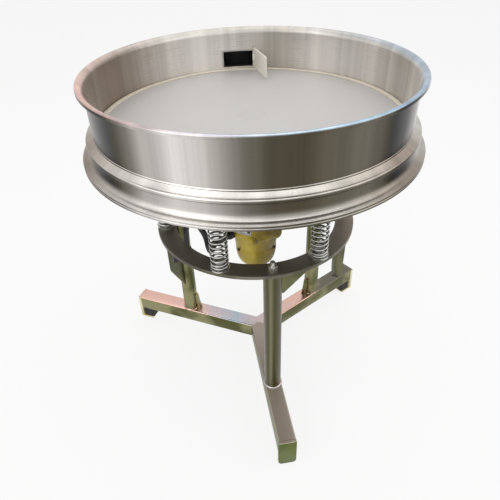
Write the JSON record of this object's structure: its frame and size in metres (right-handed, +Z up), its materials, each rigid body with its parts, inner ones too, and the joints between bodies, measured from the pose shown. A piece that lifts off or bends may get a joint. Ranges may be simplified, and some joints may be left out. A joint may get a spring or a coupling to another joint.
{
  "type": "vibrating sieve",
  "caption": "Round vibrating sieve: an open feed ring and screen on a flared collector pan, shaken by an upright motor under it, on coil springs and a base of posts and radial arms.",
  "frame": {"origin": "on the floor under the axis of the sieve, which is the middle of the footprint", "axes": "+Z up along the axis of the sieve, -Y along the front arm, towards the viewer; the gate and the coarse outlet are on the +Y side"},
  "size_m": [0.671, 0.726, 0.757],
  "materials": {
    "base_steel": "polished stainless tube and plate",
    "foot_rubber": "dark moulded rubber",
    "plate_steel": "satin stainless plate",
    "fastener_steel": "zinc plated steel",
    "pan_steel": "polished stainless sheet",
    "feed_steel": "finely brushed and polished stainless sheet",
    "screen_cloth": "fine woven stainless wire cloth",
    "hoop_steel": "stainless ring",
    "gasket_rubber": "cream silicone rubber",
    "motor_paint": "gold paint over a casting",
    "motor_iron": "bare iron",
    "shaft_steel": "ground steel",
    "black_bolt": "black finished steel",
    "tab_steel": "bare bent strip",
    "gland_plastic": "black moulded plastic",
    "cable_sheath": "black rubber sheath",
    "spring_zinc": "bright zinc plated spring wire"
  },
  "bodies": {
    "frame": {"base_arm_front": "base_steel", "base_arm_right": "base_steel", "base_arm_left": "base_steel", "arm_end_plates": "base_steel", "foot_pads": "foot_rubber", "post_front": "base_steel", "post_right": "base_steel", "post_left": "base_steel", "post_plugs": "plate_steel", "ring_studs": "fastener_steel", "ring_nuts": "fastener_steel", "support_ring": "plate_steel", "post_gusset": "plate_steel", "side_plate_left": "plate_steel", "side_lug_right": "plate_steel", "lower_spring_seats": "fastener_steel", "cable_socket": "gland_plastic", "support_spring_1": "spring_zinc", "support_spring_2": "spring_zinc", "support_spring_3": "spring_zinc", "support_spring_4": "spring_zinc", "support_spring_5": "spring_zinc", "support_spring_6": "spring_zinc"},
    "pan": {"upper_spring_seats": "fastener_steel", "chassis_disc": "pan_steel", "chassis_skirt": "pan_steel", "collector_pan": "pan_steel", "centre_boss": "pan_steel", "fine_outlet": "pan_steel", "screen_hoop": "hoop_steel", "screen_mesh": "screen_cloth", "screen_gasket": "gasket_rubber", "motor_housing": "motor_paint", "motor_cover": "motor_paint", "motor_stator": "motor_iron", "motor_bearing_lower": "shaft_steel", "motor_bearing_upper": "shaft_steel", "motor_mounting_bolts": "black_bolt", "motor_cover_screws": "black_bolt", "motor_earth_tab": "tab_steel", "cable_gland": "gland_plastic", "motor_cable": "cable_sheath"},
    "rotor": {"rotor_shaft": "shaft_steel", "rotor_core": "motor_iron", "eccentric_weight_lower": "motor_iron", "eccentric_weight_upper": "motor_iron"},
    "feed_ring_body": {"feed_ring": "feed_steel", "coarse_outlet": "feed_steel", "gate_hinge": "feed_steel", "gate_hinge_pin": "feed_steel"},
    "gate": {"gate_door": "feed_steel"}
  },
  "joints": [
    {"name": "pan_bounce", "type": "slide", "parent": "frame", "child": "pan", "axis": [0, 0, 1], "range_m": [-0.005, 0.005], "stiffness_N_per_m": 120000, "springref_m": 0.00405, "deforming": ["support_spring_1", "support_spring_2", "support_spring_3", "support_spring_4", "support_spring_5", "support_spring_6"]},
    {"name": "rotor_spin", "type": "hinge", "parent": "pan", "child": "rotor", "pos_m": [0, 0, 0.44], "axis": [0, 0, 1], "continuous": true},
    {"name": "feed_ring_lift", "type": "slide", "parent": "pan", "child": "feed_ring_body", "axis": [0, 0, 1], "range_m": [0, 0.12]},
    {"name": "gate_swing", "type": "hinge", "parent": "feed_ring_body", "child": "gate", "pos_m": [0.05401, 0.2951, 0.69], "axis": [0, 0, 1], "range_deg": [-98.5, 15.5]}
  ]
}
